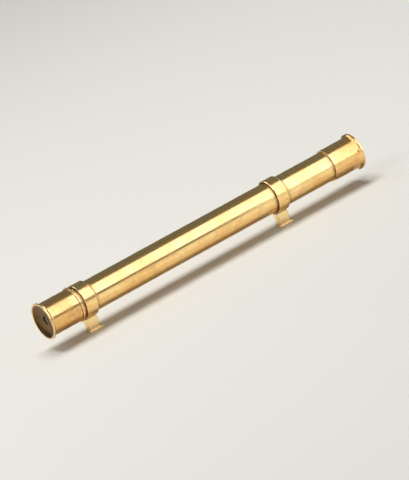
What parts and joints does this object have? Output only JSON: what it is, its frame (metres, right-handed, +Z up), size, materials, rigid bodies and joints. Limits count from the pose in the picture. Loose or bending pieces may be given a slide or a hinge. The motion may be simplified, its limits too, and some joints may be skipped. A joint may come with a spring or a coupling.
{
  "type": "finder scope",
  "caption": "Brass refracting finder telescope held by two collars on short posts with saddle feet, with a sliding eyepiece sleeve and a flared objective cell.",
  "frame": {"origin": "on the seat of the feet, midway between the two posts, where the feet rest on the crown of the carrying tube", "axes": "+X along the optical axis towards the objective, +Z up from the feet to the tube, +Y across"},
  "size_m": [0.277, 0.0276, 0.0365],
  "materials": {
    "tube_brass": "polished and lacquered",
    "turned_brass": "turned, polished and lacquered",
    "post_brass": "filed and polished",
    "blackened_brass": "chemically blackened, matt",
    "crown_glass": "polished",
    "flint_glass": "polished",
    "silver_wire": "drawn wire"
  },
  "bodies": {
    "telescope": {"main_tube": "tube_brass", "rear_collar": "turned_brass", "front_collar": "turned_brass", "rear_post": "post_brass", "front_post": "post_brass", "rear_foot": "post_brass", "front_foot": "post_brass", "objective_cell": "turned_brass", "crown_lens": "crown_glass", "flint_lens": "flint_glass", "lens_spacer": "turned_brass", "objective_retainer": "turned_brass", "front_glare_stop": "blackened_brass", "rear_glare_stop": "blackened_brass"},
    "focus_sleeve": {"eye_sleeve": "turned_brass"},
    "eyepiece": {"eye_cap": "turned_brass", "lens_tube": "blackened_brass", "eye_lens": "crown_glass", "eye_lens_cell": "blackened_brass", "field_lens": "crown_glass", "field_lens_retainer": "blackened_brass", "field_stop": "blackened_brass", "horizontal_wire": "silver_wire", "vertical_wire": "silver_wire", "wire_screws": "turned_brass"}
  },
  "joints": [
    {"name": "focus_slide", "type": "slide", "parent": "telescope", "child": "focus_sleeve", "axis": [-1, 0, 0], "range_m": [-0.0019, 0.01]},
    {"name": "eyepiece_turn", "type": "hinge", "parent": "focus_sleeve", "child": "eyepiece", "pos_m": [-0.1155, 0, 0.0225], "axis": [-1, 0, 0], "continuous": true}
  ]
}
